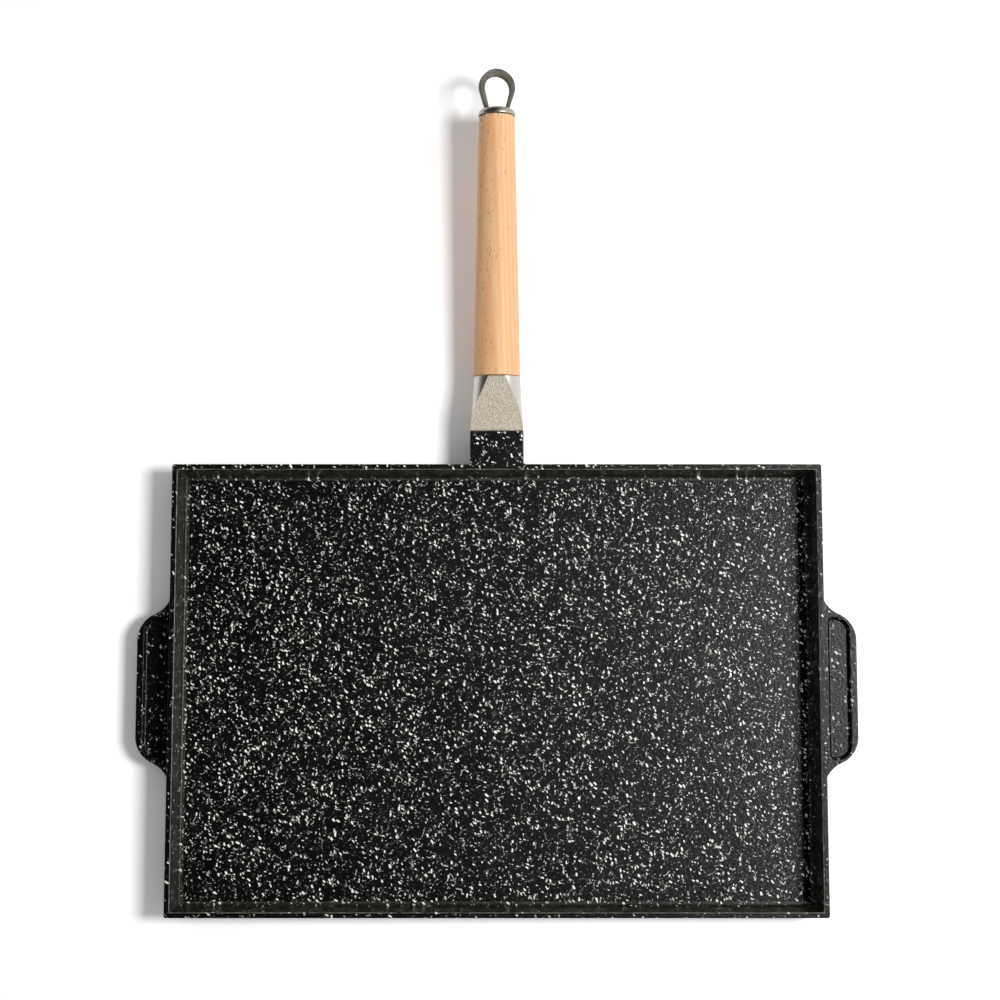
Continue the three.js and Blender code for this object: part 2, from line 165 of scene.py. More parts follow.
def shade_flats(piece):
    """Lets the larger face rule the shading along each edge, so that flat faces look flat."""
    piece.modifiers.new("flat_shading", "WEIGHTED_NORMAL").keep_sharp = True


def rectangle_rings(half_x, half_y, corner):
    """One outline per row: four corner arcs of the given radius, counterclockwise from +X."""
    bend = np.linspace(0, np.pi / 2, CORNER_STEPS + 1)
    angle = (bend + np.arange(4)[:, None] * np.pi / 2).ravel()
    side_x = np.repeat([1, -1, -1, 1], CORNER_STEPS + 1)
    side_y = np.repeat([1, 1, -1, -1], CORNER_STEPS + 1)
    x = side_x * (half_x - corner)[:, None] + corner[:, None] * np.cos(angle)
    y = side_y * (half_y - corner)[:, None] + corner[:, None] * np.sin(angle)
    return x, y


def wall_inset(z):
    """How far the drafted outside of the tray stands inside the rim's outline at a height."""
    return (TRAY_HEIGHT - z) * DRAFT


def tray_rings():
    """The tray's profile, as inset and height, carried round the rim: up the outside from the flat
    underside, over the rim, down the inside and out onto the floor, every bend a quarter circle."""
    rim_start = TRAY_HEIGHT - RIM_OUTER_EDGE
    fillet_start = FLOOR_THICKNESS + FLOOR_FILLET
    inset = np.concatenate([
        wall_inset(BASE_EDGE) + BASE_EDGE * (1 - np.sin(quarter)),
        wall_inset(rim_start) + RIM_OUTER_EDGE * (1 - np.cos(quarter)),
        RIM_LAND - RIM_INNER_EDGE * (1 - np.sin(quarter)),
        INNER_FOOT + FLOOR_FILLET * (1 - np.cos(quarter)),
    ])
    height = np.concatenate([
        BASE_EDGE * (1 - np.cos(quarter)),
        rim_start + RIM_OUTER_EDGE * np.sin(quarter),
        TRAY_HEIGHT - RIM_INNER_EDGE * (1 - np.cos(quarter)),
        fillet_start - FLOOR_FILLET * np.sin(quarter),
    ])
    inside = np.maximum(INNER_CORNER - np.maximum(inset - RIM_LAND, 0), SHARPEST_CORNER)
    outside = np.arange(len(inset)) < 2 * len(quarter)
    corner = np.where(outside, OUTER_CORNER, inside)
    x, y = rectangle_rings(TRAY_LENGTH / 2 - inset, TRAY_WIDTH / 2 - inset, corner)
    return np.stack([x, y, np.broadcast_to(height[:, None], x.shape)], axis=-1)


def lug_rings(side):
    """Outlines of a lug seen from above, one per height: up the rounded edge of the plate, across its
    top and down into the dish. The plate's outline is a straight tip, two round shoulders and two
    hollow roots that touch them; the dish's is a rectangle with large outer and small inner corners."""
    wall = TRAY_LENGTH / 2
    top = TRAY_HEIGHT - LUG_DROP
    under = top - LUG_THICKNESS
    radii = LUG_SHOULDER_RADIUS + LUG_ROOT_RADIUS
    facing = math.acos(1 - LUG_REACH / radii)
    root_half = LUG_TIP_LENGTH / 2 + radii * math.sin(facing)

    plate_inset = np.concatenate([
        LUG_UNDER_EDGE * (1 - np.sin(quarter)),
        LUG_TOP_EDGE * (1 - np.cos(quarter)),
    ])[:, None]
    plate_height = np.concatenate([
        under + LUG_UNDER_EDGE * (1 - np.cos(quarter)),
        top - LUG_TOP_EDGE * (1 - np.sin(quarter)),
    ])
    shoulder = np.linspace(0, facing, SHOULDER_STEPS + 1)
    root = np.linspace(facing + np.pi, np.pi, SHOULDER_STEPS + 1)[1:]
    shoulder_radius = LUG_SHOULDER_RADIUS - plate_inset
    root_radius = LUG_ROOT_RADIUS + plate_inset
    plate_x = np.concatenate([
        wall + LUG_REACH - LUG_SHOULDER_RADIUS + shoulder_radius * np.cos(shoulder),
        wall + LUG_ROOT_RADIUS + root_radius * np.cos(root),
        np.full_like(plate_inset, wall - CASTING_OVERLAP),
    ], axis=1)
    plate_y = np.concatenate([
        LUG_TIP_LENGTH / 2 + shoulder_radius * np.sin(shoulder),
        root_half + root_radius * np.sin(root),
        np.full_like(plate_inset, root_half),
    ], axis=1)

    lean = math.tan(DISH_DRAFT)
    lip = np.linspace(np.pi / 2, DISH_DRAFT, EDGE_STEPS + 1)
    lip_centre = DISH_LIP * ((1 - math.sin(DISH_DRAFT)) * lean - math.cos(DISH_DRAFT))
    foot = np.linspace(np.pi + DISH_DRAFT, 1.5 * np.pi, EDGE_STEPS + 1)
    foot_drop = DISH_DEPTH - DISH_FILLET * (1 - math.sin(DISH_DRAFT))
    foot_centre = foot_drop * lean + DISH_FILLET * math.cos(DISH_DRAFT)
    dish_inset = np.concatenate([
        lip_centre + DISH_LIP * np.cos(lip),
        foot_centre + DISH_FILLET * np.cos(foot),
    ])[:, None]
    dish_height = np.concatenate([
        top - DISH_LIP * (1 - np.sin(lip)),
        top - DISH_DEPTH + DISH_FILLET * (1 + np.sin(foot)),
    ])
    half = root_half - DISH_END
    turn = np.linspace(0, np.pi / 2, SHOULDER_STEPS + 1)
    outer_x = wall + LUG_REACH - DISH_BORDER - DISH_CORNER
    inner_x = wall + DISH_LAND + DISH_INNER_CORNER
    outer_radius = DISH_CORNER - dish_inset
    inner_radius = DISH_INNER_CORNER - dish_inset
    dish_x = np.concatenate([
        outer_x + outer_radius * np.cos(turn),
        inner_x - inner_radius * np.sin(turn),
    ], axis=1)
    dish_y = np.concatenate([
        half - DISH_CORNER + outer_radius * np.sin(turn),
        half - DISH_INNER_CORNER + inner_radius * np.cos(turn),
    ], axis=1)

    x = np.concatenate([plate_x, dish_x])
    y = np.concatenate([plate_y, dish_y])
    height = np.concatenate([plate_height, dish_height])[:, None]
    x = np.concatenate([x, x[:, ::-1]], axis=1)
    y = np.concatenate([y, -y[:, ::-1]], axis=1)
    rings = np.stack([side * x, y, np.broadcast_to(height, x.shape)], axis=-1)
    return rings[:, ::side]


hinge = next(joint for joint in frame["joints"] if joint["name"] == "loop_turn")
handle_start = np.array(hinge["pos_m"])
handle_line = np.array(hinge["axis"])
across = np.array([1.0, 0.0, 0.0])
handle_up = np.cross(across, handle_line)


def boss_rings():
    """A round-cornered block carried from the tray's wall to the handle. It swells by a quarter circle
    where it leaves the drafted wall, its top stays level with the rim, and its end is square to the
    handle line."""
    swell = np.concatenate([[BOSS_ROOT_FILLET], BOSS_ROOT_FILLET * (1 - np.sin(quarter))])
    out = np.concatenate([[-CASTING_OVERLAP], BOSS_ROOT_FILLET * (1 - np.cos(quarter))])
    end_inset = BOSS_END_EDGE * (1 - np.cos(quarter))
    end_back = BOSS_END_EDGE * (1 - np.sin(quarter))
    grow = np.concatenate([swell, -end_inset])
    drop = np.concatenate([swell / 2, np.zeros_like(end_inset)])
    half = BOSS_HEIGHT / 2
    edge = np.full_like(grow, BOSS_EDGE)
    x, rise = rectangle_rings(BOSS_WIDTH / 2 + grow, half + np.concatenate([swell / 2, -end_inset]), edge)
    z = TRAY_HEIGHT - half - drop[:, None] + rise
    root_y = TRAY_WIDTH / 2 - wall_inset(z[: len(out)]) + out[:, None]
    slope = handle_line[2] / handle_line[1]
    end_y = handle_start[1] - (z[len(out):] - handle_start[2]) * slope - end_back[:, None]
    return np.stack([-x, np.concatenate([root_y, end_y]), z], axis=-1)


class Wire:
    """An output socket in a node tree. Arithmetic on it adds Math nodes, and node() adds any other."""

    def __init__(self, tree, socket=None):
        self.tree = tree
        self.socket = socket

    def node(self, kind, settings=None, inputs=None, output=0):
        """Adds a node, sets its settings, then fills or links its inputs, and returns one output."""
        made = self.tree.nodes.new(kind)
        for key, value in (settings or {}).items():
            setattr(made, key, value)
        for key, value in (inputs or {}).items():
            if isinstance(value, Wire):
                self.tree.links.new(value.socket, made.inputs[key])
            else:
                made.inputs[key].default_value = value
        return Wire(self.tree, made.outputs[output] if len(made.outputs) else None)

    def other(self, output):
        """Another output of the node that this one comes from."""
        return Wire(self.tree, self.socket.node.outputs[output])

    def math(self, operation, first, second):
        return self.node("ShaderNodeMath", {"operation": operation}, {0: first, 1: second})

    def vector(self, operation, value, output=0):
        """Vector maths with this vector first."""
        return self.node("ShaderNodeVectorMath", {"operation": operation}, {0: self, 1: value}, output)

    def scaled(self, factor):
        return self.node("ShaderNodeVectorMath", {"operation": "SCALE"}, {0: self, "Scale": factor})

    def __add__(self, value):
        return self.math("ADD", self, value)

    def __sub__(self, value):
        return self.math("SUBTRACT", self, value)

    def __rsub__(self, value):
        return self.math("SUBTRACT", value, self)

    def __mul__(self, value):
        return self.math("MULTIPLY", self, value)

    __radd__ = __add__
    __rmul__ = __mul__

    def most(self, value):
        return self.math("MAXIMUM", self, value)

    def least(self, value):
        return self.math("MINIMUM", self, value)

    def size(self):
        return self.math("ABSOLUTE", self, 0.0)

    def step(self, low, high):
        """Goes smoothly from 0 at low to 1 at high."""
        return self.node("ShaderNodeMapRange", {"interpolation_type": "SMOOTHSTEP"},
                         {"Value": self, "From Min": low, "From Max": high})

    def tint(self, low, high):
        """A colour between two, with this value as the share of the second."""
        return self.node("ShaderNodeMix", {"data_type": "RGBA"}, {0: self, 6: low, 7: high}, 2)

    def noise(self, scale, detail=2.0, roughness=0.5, output=0):
        """Noise over this vector, about 0 to 1 round 0.5."""
        return self.node("ShaderNodeTexNoise", None,
                         {"Vector": self, "Scale": scale, "Detail": detail, "Roughness": roughness}, output)

    def cells(self, scale):
        """Distances to random points. The Color output is random by point, Position is the point."""
        return self.node("ShaderNodeTexVoronoi", None, {"Vector": self, "Scale": scale})

    def strokes(self, facing, scale, small, large, stretch, soft, nearer=0.7):
        """Round-ended strokes through random points, each laid in a random direction along the surface:
        1 inside them. Their radii run from small, which most have, to large, and stretch is how many
        radii they reach each way. Nearer is the share of a point's depth that is left out."""
        point = self.cells(scale)
        chance = point.other("Color")
        lean = chance.vector("SUBTRACT", (0.5, 0.5, 0.5)).vector("CROSS_PRODUCT", facing)
        lean = lean.vector("NORMALIZE", (0, 0, 0))
        offset = self.vector("SUBTRACT", point.other("Position"))
        depth = offset.vector("DOT_PRODUCT", facing, "Value")
        offset = offset.vector("SUBTRACT", facing.scaled(depth * nearer))
        luck = chance.channel("Red")
        radius = luck * luck * luck * (large - small) + small
        reach = radius * stretch
        run = offset.vector("DOT_PRODUCT", lean, "Value").most(reach * -1.0).least(reach)
        beside = offset.vector("SUBTRACT", lean.scaled(run)).vector("LENGTH", (0, 0, 0), "Value")
        return (radius - beside).step(-soft, soft), chance

    def warped(self, amount, scale):
        """This vector pushed about by noise."""
        return self.noise(scale, 1.0, output="Color").scaled(amount).vector("ADD", self)

    def channel(self, name):
        return self.node("ShaderNodeSeparateColor", None, {0: self}, name)

    def axis(self, name):
        return self.node("ShaderNodeSeparateXYZ", None, {0: self}, name)

    def bump(self, distance):
        """A normal from this value as a height, in units of the distance."""
        return self.node("ShaderNodeBump", None, {"Height": self, "Distance": distance})


def finish(name):
    """An empty material, and its Object coordinates in millimetres."""
    material = bpy.data.materials.new(name)
    material.use_nodes = True
    tree = material.node_tree
    tree.nodes.clear()
    place = Wire(tree).node("ShaderNodeTexCoord", output="Object")
    return material, place.scaled(1 / MM)


def coat(place, **inputs):
    """Closes a material with a Principled shader."""
    sockets = {key.replace("_", " "): value for key, value in inputs.items()}
    shader = place.node("ShaderNodeBsdfPrincipled", None, sockets)
    place.node("ShaderNodeOutputMaterial", None, {"Surface": shader})


def speckled_coating():
    """Black coating with white flecks: small thick strokes, thin curled threads and a faint dust. They
    lie thick on the cooking floor, less so on the boss, and sparse elsewhere. Along the rim's inner edge,
    where the coating is thin, a pale line is rubbed metal and a painted highlight together; the foot of
    the inner walls has a painted highlight line, and the inner walls a faint painted sheen."""
    material, place = finish("speckled_coating")
    tumbled = place.node("ShaderNodeMapping", None, {"Vector": place, "Rotation": FLECK_TILT})
    normal = place.node("ShaderNodeTexCoord", output="Normal")
    facing = place.node("ShaderNodeMapping", {"vector_type": "VECTOR"},
                        {"Vector": normal, "Rotation": FLECK_TILT})
    x = place.axis("X")
    y = x.other("Y")
    z = x.other("Z")
    end = TRAY_LENGTH / 2 / MM
    side = TRAY_WIDTH / 2 / MM
    rim = TRAY_HEIGHT / MM
    land = RIM_LAND / MM
    floor_edge = (INNER_FOOT + FLOOR_FILLET) / MM
    inset = (end - x.size()).least(side - y.size())
    on_boss = y.step(side - BOSS_FADE, side)
    off_floor = inset.step(floor_edge + FLOOR_FADE, floor_edge - FLOOR_FADE)
    sparse = off_floor * (1 - on_boss * BOSS_FLECKS)

    def flecks(bend, wave, channel, gain, loss, thinned, **stroke):
        """One kind of fleck on bent coordinates. Chance, times gain, less loss and less still where
        they are sparse, is how white each one is."""
        mark, chance = tumbled.warped(bend, wave).strokes(facing, **stroke)
        white = chance.channel(channel) * gain - loss - sparse * thinned
        return mark * white.most(0.0).least(1.0)

    stroke = flecks(bend=1.2, wave=0.6, channel="Green", gain=3.0, loss=0.85, thinned=1.2,
                    scale=0.39, small=0.18, large=0.7, stretch=1.2, soft=0.06)
    thread = flecks(bend=4.5, wave=0.25, channel="Blue", gain=1.5, loss=0.68, thinned=0.35,
                    scale=0.27, small=0.2, large=0.32, stretch=6.0, soft=0.08)
    dust = flecks(bend=1.2, wave=0.8, channel="Blue", gain=0.24, loss=0.1, thinned=0.06,
                  scale=0.5, small=0.2, large=0.36, stretch=1.4, soft=0.12)
    fleck = stroke.most(thread).most(dust)
    cloud = place.noise(scale=0.03, detail=3.0)
    ground = cloud.step(0.3, 0.7).tint(COATING_BLACK, COATING_GREY)
    flecked = fleck.tint(ground, FLECK_WHITE)

    # A pale line round the rounding of the rim's inner edge: rubbed metal and a painted highlight together.
    rim_line = (inset - (RIM_LAND - RIM_INNER_EDGE / 2) / MM).size().step(*RIM_LINE_FADE)
    at_rim = z.step(rim - 1.2, rim - 0.5)
    above_base = z.step(2.0, 4.0)
    # A painted highlight along the fillet at the foot of the inner walls.
    foot_line = (inset - floor_edge - FOOT_LINE_INSET).size().step(*FOOT_LINE_FADE)
    # A faint painted sheen over the inner walls.
    on_wall = inset.step(land, land + 0.3) * inset.step(floor_edge, floor_edge - 0.6)
    # The painted highlight at the walls' foot and the painted sheen on the walls, kept above the base.
    inside = (foot_line * FOOT_LINE_HIGHLIGHT + on_wall * WALL_SHEEN) * above_base
    patchy = place.noise(scale=0.25, detail=3.0).step(0.2, 0.6)
    # Rubbed metal, painted highlight and painted sheen together, broken up by noise.
    wear_and_painted_light = (rim_line * at_rim * RIM_LINE_WEAR_AND_HIGHLIGHT + inside) * patchy
    peel = place.noise(scale=0.45, detail=3.0, roughness=0.7) + fleck * 0.3
    coat(place, Base_Color=wear_and_painted_light.tint(flecked, RUBBED_METAL_AND_PAINTED_LIGHT), Roughness=cloud * 0.1 + 0.27,
         Normal=peel.bump(0.3 * MM), Specular_IOR_Level=0.27)
    return material


pan = new_piece("coated_pan", closed_skin(tray_rings()))
right_lug = new_piece("right_lug", closed_skin(lug_rings(1)))
left_lug = new_piece("left_lug", closed_skin(lug_rings(-1)))
boss = new_piece("boss", closed_skin(boss_rings()))
unite(pan, [right_lug, left_lug, boss])
shade_flats(pan)
pan.data.materials.append(speckled_coating())
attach(pan, "pan")
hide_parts("pan_casting")

# The ferrule: a bare aluminium casting that leads from the boss's block to the round grip, with a
# blasted flat facet above and below and smooth sides. The rod clamps it, and the grip's tenon sits
# in the socket at its far end.

SEAT_GAP = 0.3 * MM
FERRULE_START = SEAT_GAP
FERRULE_END = 38.8 * MM
FERRULE_SQUARENESS = 6
FERRULE_ROUNDNESS = 2
FERRULE_EASE = 2
FERRULE_STATIONS = 48
FACET_AT_BOSS = 10 * MM
FACET_AT_GRIP = 15.3 * MM
FACET_DEPTH_AT_BOSS = 6.2 * MM
GRIP_RADIUS_AT_FERRULE = 16.4 * MM
FERRULE_EDGE = 0.35 * MM
SOCKET_DEPTH = 10 * MM
SOCKET_FLOOR = FERRULE_END - SOCKET_DEPTH
SOCKET_RADIUS = 11.13 * MM
CLEAR_RADIUS = 3.35 * MM
SIDE_STEPS = 32
FACET_STEPS = 16
FLAT_ENOUGH = 0.985
HIGH_ENOUGH = 0.97
FACET_DULL = (0.46, 0.41, 0.33, 1)
FACET_SPARKLE = (0.78, 0.72, 0.61, 1)
SIDE_GREY = (0.5, 0.47, 0.43, 1)
SIDE_PALE = (0.62, 0.59, 0.55, 1)


def on_handle(x, along, z):
    """Points given across, along and above the handle line, as an array of points in the frame."""
    x, along, z = np.broadcast_arrays(x, along, z)
    return handle_start + x[..., None] * across + along[..., None] * handle_line + z[..., None] * handle_up


def ferrule_rings():
    """Sections of the ferrule: a superellipse whose width and height go evenly, and whose exponent
    falls by a square, from the boss's block to the grip's circle, cut flat above and below. The inside
    runs back through the grip's socket and the rod's bore."""
    share = np.linspace(0, 1, FERRULE_STATIONS + 1)[:, None]
    exponent = FERRULE_ROUNDNESS + (FERRULE_SQUARENESS - FERRULE_ROUNDNESS) * (1 - share) ** FERRULE_EASE
    half_width = BOSS_WIDTH / 2 + (GRIP_RADIUS_AT_FERRULE - BOSS_WIDTH / 2) * share
    boss_height = FACET_AT_BOSS + FACET_DEPTH_AT_BOSS
    half_height = boss_height + (GRIP_RADIUS_AT_FERRULE - boss_height) * share
    facet = FACET_AT_BOSS + (FACET_AT_GRIP - FACET_AT_BOSS) * share
    down = np.linspace(1, -1, SIDE_STEPS + 1)
    side_z = facet * down
    side_x = half_width * (1 - np.abs(side_z / half_height) ** exponent) ** (1 / exponent)
    over = np.linspace(1, -1, FACET_STEPS + 1)[1:-1]
    flat_x = side_x[:, :1] * over
    flat_z = np.broadcast_to(facet, flat_x.shape)
    x = np.concatenate([side_x, flat_x, -side_x[:, ::-1], -flat_x], axis=1)
    z = np.concatenate([side_z, -flat_z, side_z[:, ::-1], flat_z], axis=1)
    along = FERRULE_START + (FERRULE_END - FERRULE_START) * share
    keep = (along[:, 0] > FERRULE_START + FERRULE_EDGE) & (along[:, 0] < FERRULE_END - FERRULE_EDGE)

    def eased(end, row, way):
        """The section at one end, shrunk over its last stretch by a quarter circle."""
        shrink = 1 - FERRULE_EDGE * (1 - np.sin(quarter))[:, None] / half_width[row]
        place = end + way * FERRULE_EDGE * (1 - np.cos(quarter))
        wide = x[row] * shrink
        return np.stack([wide, np.broadcast_to(place[:, None], wide.shape), z[row] * shrink], axis=-1)

    first = eased(FERRULE_START, 0, 1)
    last = eased(FERRULE_END, -1, -1)[::-1]
    body = np.stack([x, np.broadcast_to(along, x.shape), z], axis=-1)[keep]
    turn = np.arctan2(x[-1], z[-1])
    radius = np.repeat([SOCKET_RADIUS, CLEAR_RADIUS], 2)[:, None]
    depth = np.array([FERRULE_END, SOCKET_FLOOR, SOCKET_FLOOR, FERRULE_START])[:, None]
    inside = np.broadcast_arrays(radius * np.sin(turn), depth, radius * np.cos(turn))
    inside = np.stack(inside, axis=-1)
    rings = np.concatenate([first, body, last, inside])
    return on_handle(rings[..., 0], rings[..., 1], rings[..., 2])


def bare_casting():
    """Cast aluminium: blasted and sparkling where the blasted attribute is 1, smooth elsewhere."""
    material, place = finish("bare_casting")
    blasted = place.node("ShaderNodeAttribute", {"attribute_name": "blasted"}, None, "Fac")
    grain = place.cells(scale=1.15)
    sparkle = grain.other("Color").channel("Red")
    grit = place.noise(scale=1.4, detail=3.0)
    rough_colour = (sparkle * 0.6 + grit * 0.4).tint(FACET_DULL, FACET_SPARKLE)
    smooth_colour = place.noise(scale=0.12, detail=3.0).tint(SIDE_GREY, SIDE_PALE)
    colour = blasted.tint(smooth_colour, rough_colour)
    height = (grain * 0.6 + grit * 0.5) * blasted + place.noise(scale=0.5, detail=4.0) * 0.12
    coat(place, Base_Color=colour, Metallic=1.0, Roughness=blasted * 0.26 + 0.34 + grit * 0.08,
         Normal=height.bump(0.2 * MM))
    return material


ferrule = new_piece("faceted_ferrule", closed_skin(ferrule_rings(), loop_back=True), sharp=24)
shade_flats(ferrule)
centres = np.empty(len(ferrule.data.polygons) * 3)
normals = np.empty(len(ferrule.data.polygons) * 3)
ferrule.data.polygons.foreach_get("center", centres)
ferrule.data.polygons.foreach_get("normal", normals)
upward = np.abs(normals.reshape(-1, 3) @ handle_up)
height_off_line = np.abs((centres.reshape(-1, 3) - handle_start) @ handle_up)
on_facet = (upward > FLAT_ENOUGH) & (height_off_line > FACET_AT_BOSS * HIGH_ENOUGH)
blasted = ferrule.data.attributes.new("blasted", "FLOAT", "FACE")
blasted.data.foreach_set("value", on_facet.astype(np.float32))
ferrule.data.materials.append(bare_casting())
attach(ferrule, "pan")
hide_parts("ferrule")

# The grip: turned from one length of beech and oiled, tapering towards the loop, with broken edges.
# It has a tenon for the ferrule, a bore for the rod and a pocket for the loop's spigot. Screwing the
# collar down has torn some fibres at its far end.

GRIP_LENGTH = 183.8 * MM
GRIP_START = FERRULE_END + SEAT_GAP
GRIP_END = GRIP_START + GRIP_LENGTH
GRIP_RADIUS_AT_LOOP = 12.65 * MM
GRIP_EDGE = 0.9 * MM
UNEVEN_HEIGHT = 0.05 * MM
UNEVEN_LENGTH = 17 * MM
UNEVEN_LOBES = 2
UNEVEN_PHASE = 0.6
TENON_END = SOCKET_FLOOR + SEAT_GAP
TENON_RADIUS = 10.78 * MM
POCKET_DEPTH = 14.4 * MM
POCKET_FLOOR = GRIP_END - POCKET_DEPTH
POCKET_RADIUS = 7.35 * MM
TEAR_REACH = 3.2 * MM
TEAR_DEPTH = 0.55 * MM
TEAR_EDGE = 0.5 * MM
TEAR_COUNTS = np.array([5, 11, 23])
TEAR_SIZES = np.array([0.45, 0.35, 0.3])
TEAR_PHASES = np.array([1, 0, 2])
USUAL_REACH = 0.25
USUAL_DEPTH = 0.3
LEAST_DEPTH = 0.15
LARGEST_TEAR = 1.6
SPLINTER_SIDE = math.radians(-48)
SPLINTER_WIDTH = 0.4
SPLINTER_SIZE = 1.1
ROUND_STEPS = 144
BARREL_STATIONS = 60
TORN_STATIONS = 24

BEECH_BROWN = (0.82, 0.41, 0.18, 1)
BEECH_PALE = (0.90, 0.58, 0.32, 1)
RAY_BROWN = (0.5, 0.19, 0.06, 1)
TORN_BROWN = (0.38, 0.17, 0.07, 1)
TORN_PALE = (0.96, 0.74, 0.48, 1)
PITH_ASIDE = (-22.0, 0, 34.0)


def turned_rings(radius, along, steps):
    """A profile of radius and place along the handle line, turned about that line."""
    turn = np.linspace(0, 2 * np.pi, steps, endpoint=False)
    radius = np.asarray(radius)
    radius = radius[:, None] if radius.ndim == 1 else radius
    along = np.asarray(along)[:, None]
    return on_handle(radius * np.sin(turn), along, radius * np.cos(turn))


def grip_rings():
    """The grip's profile turned about the handle line: the barrel is a straight taper with rounded
    ends and a slight unevenness, less the torn fibres. How far they reach from the end, and how deep,
    varies round it by a sum of sines and one splinter. Also returns how torn each point is."""
    turn = np.linspace(0, 2 * np.pi, ROUND_STEPS, endpoint=False)
    barrel = np.concatenate([
        np.linspace(GRIP_START + GRIP_EDGE, GRIP_END - 2 * TEAR_REACH, BARREL_STATIONS),
        np.linspace(GRIP_END - 2 * TEAR_REACH, GRIP_END - GRIP_EDGE, TORN_STATIONS)[1:],
    ])
    share = (barrel - GRIP_START) / (GRIP_END - GRIP_START)
    taper = GRIP_RADIUS_AT_FERRULE + (GRIP_RADIUS_AT_LOOP - GRIP_RADIUS_AT_FERRULE) * share
    near = taper[0] - GRIP_EDGE * (1 - np.sin(quarter))
    far = taper[-1] - GRIP_EDGE * (1 - np.cos(quarter))
    radius = np.concatenate([near[:-1], taper, far[1:]])
    along = np.concatenate([
        GRIP_START + GRIP_EDGE * (1 - np.cos(quarter))[:-1],
        barrel,
        GRIP_END - GRIP_EDGE * (1 - np.sin(quarter))[1:],
    ])
    wave = UNEVEN_HEIGHT * np.sin(along / UNEVEN_LENGTH)[:, None]
    wave = wave * np.sin(UNEVEN_LOBES * turn + UNEVEN_PHASE)
    ragged = TEAR_SIZES @ np.sin(TEAR_COUNTS[:, None] * turn + TEAR_PHASES[:, None])
    aside = np.angle(np.exp(1j * (turn - SPLINTER_SIDE))) / SPLINTER_WIDTH
    ragged = ragged + SPLINTER_SIZE * np.exp(-aside ** 2)
    reach = TEAR_REACH * np.clip(USUAL_REACH + ragged, 0, LARGEST_TEAR)
    depth = TEAR_DEPTH * np.clip(USUAL_DEPTH + ragged, LEAST_DEPTH, LARGEST_TEAR)
    into = np.clip((along[:, None] - (GRIP_END - reach)) / TEAR_EDGE, 0, 1) * (reach > 0)
    outside = radius[:, None] + wave - depth * into
    hidden_radius = np.repeat([POCKET_RADIUS, CLEAR_RADIUS, TENON_RADIUS], 2)[:, None]
    hidden_along = np.repeat([POCKET_FLOOR, TENON_END], 2)
    hidden_along = np.concatenate([[GRIP_END], hidden_along, [GRIP_START]])
    whole = np.zeros((len(hidden_along), ROUND_STEPS))
    along = np.concatenate([along, hidden_along])
    rings = turned_rings(np.concatenate([outside, hidden_radius + whole]), along, ROUND_STEPS)
    return rings, np.concatenate([into, whole])


def along_handle(place):
    """Millimetre coordinates with Y along the handle line, from its start."""
    rise = math.atan2(handle_line[2], handle_line[1])
    return place.node("ShaderNodeMapping", {"vector_type": "TEXTURE"},
                      {"Vector": place, "Location": tuple(handle_start / MM), "Rotation": (rise, 0, 0)})


def beech():
    """Beech: growth rings about a pith beside the grip, fine fibres, short dark flecks along it, and
    pale or darkened fibre where the torn attribute is 1."""
    material, place = finish("beech")
    line = along_handle(place)

    def drawn_out(share):
        """The handle's coordinates, with only a share of the length, so that patterns stretch along it."""
        return line.vector("MULTIPLY", (1, share, 1))

    fibre = drawn_out(0.045).noise(scale=1.6, detail=4.0, roughness=0.6)
    pith = drawn_out(0.02).vector("ADD", PITH_ASIDE).warped(amount=5.0, scale=0.05)
    ring = line.node("ShaderNodeTexWave", {"wave_type": "RINGS", "rings_direction": "Y"},
                     {"Vector": pith, "Scale": 0.11, "Distortion": 1.2, "Detail": 2.0}, "Fac")
    tone = ring.step(0.0, 1.0) * 0.18 + fibre * 0.7
    wood = tone.step(0.15, 0.75).tint(BEECH_BROWN, BEECH_PALE)
    ray = drawn_out(0.26).warped(amount=0.7, scale=0.5).cells(scale=0.85)
    ray_chance = ray.other("Color").channel("Red")
    strip = (drawn_out(0.3).noise(scale=0.16) - line.axis("X") * 0.012).step(0.47, 0.6)
    fleck = (ray_chance * 0.42 - 0.03 - ray).step(-0.02, 0.1) * (strip * 0.85 + 0.03)
    flecked = fleck.tint(wood, RAY_BROWN)
    torn = line.node("ShaderNodeAttribute", {"attribute_name": "torn"}, None, "Fac")
    splinter = drawn_out(0.3).noise(scale=1.1).step(0.36, 0.5)
    colour = torn.tint(flecked, splinter.tint(TORN_BROWN, TORN_PALE))
    height = fibre * 0.5 - fleck * 0.15
    coat(place, Base_Color=colour, Roughness=fibre * 0.2 + 0.42, Normal=height.bump(0.15 * MM))
    return material


turned_grip, torn_fibres = grip_rings()
grip = new_piece("beech_grip", closed_skin(turned_grip, loop_back=True), sharp=50)
torn = grip.data.attributes.new("torn", "FLOAT", "POINT")
torn.data.foreach_set("value", torn_fibres.ravel().astype(np.float32))
grip.data.materials.append(beech())
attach(grip, "pan")
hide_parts("handle_grip")

# The tie rod: zinc-plated M6 steel, threaded at both ends. It is screwed into the boss and clamps
# the ferrule and the grip under the loop.

ROD_FOOT = -18 * MM
ROD_STANDS_OUT = 1.9 * MM
ROD_TOP = GRIP_END + ROD_STANDS_OUT
ROD_RADIUS = 3 * MM
ROD_CHAMFER = 0.6 * MM
THREAD_PITCH = 1 * MM
THREAD_DEPTH = 0.55 * MM
THREAD_LENGTH = 22 * MM
THREAD_RUN_OUT = 2 * MM
ROD_STEPS = 32
STATIONS_PER_PITCH = 10
ZINC_GREY = (0.5, 0.51, 0.53, 1)
ZINC_PALE = (0.68, 0.67, 0.63, 1)


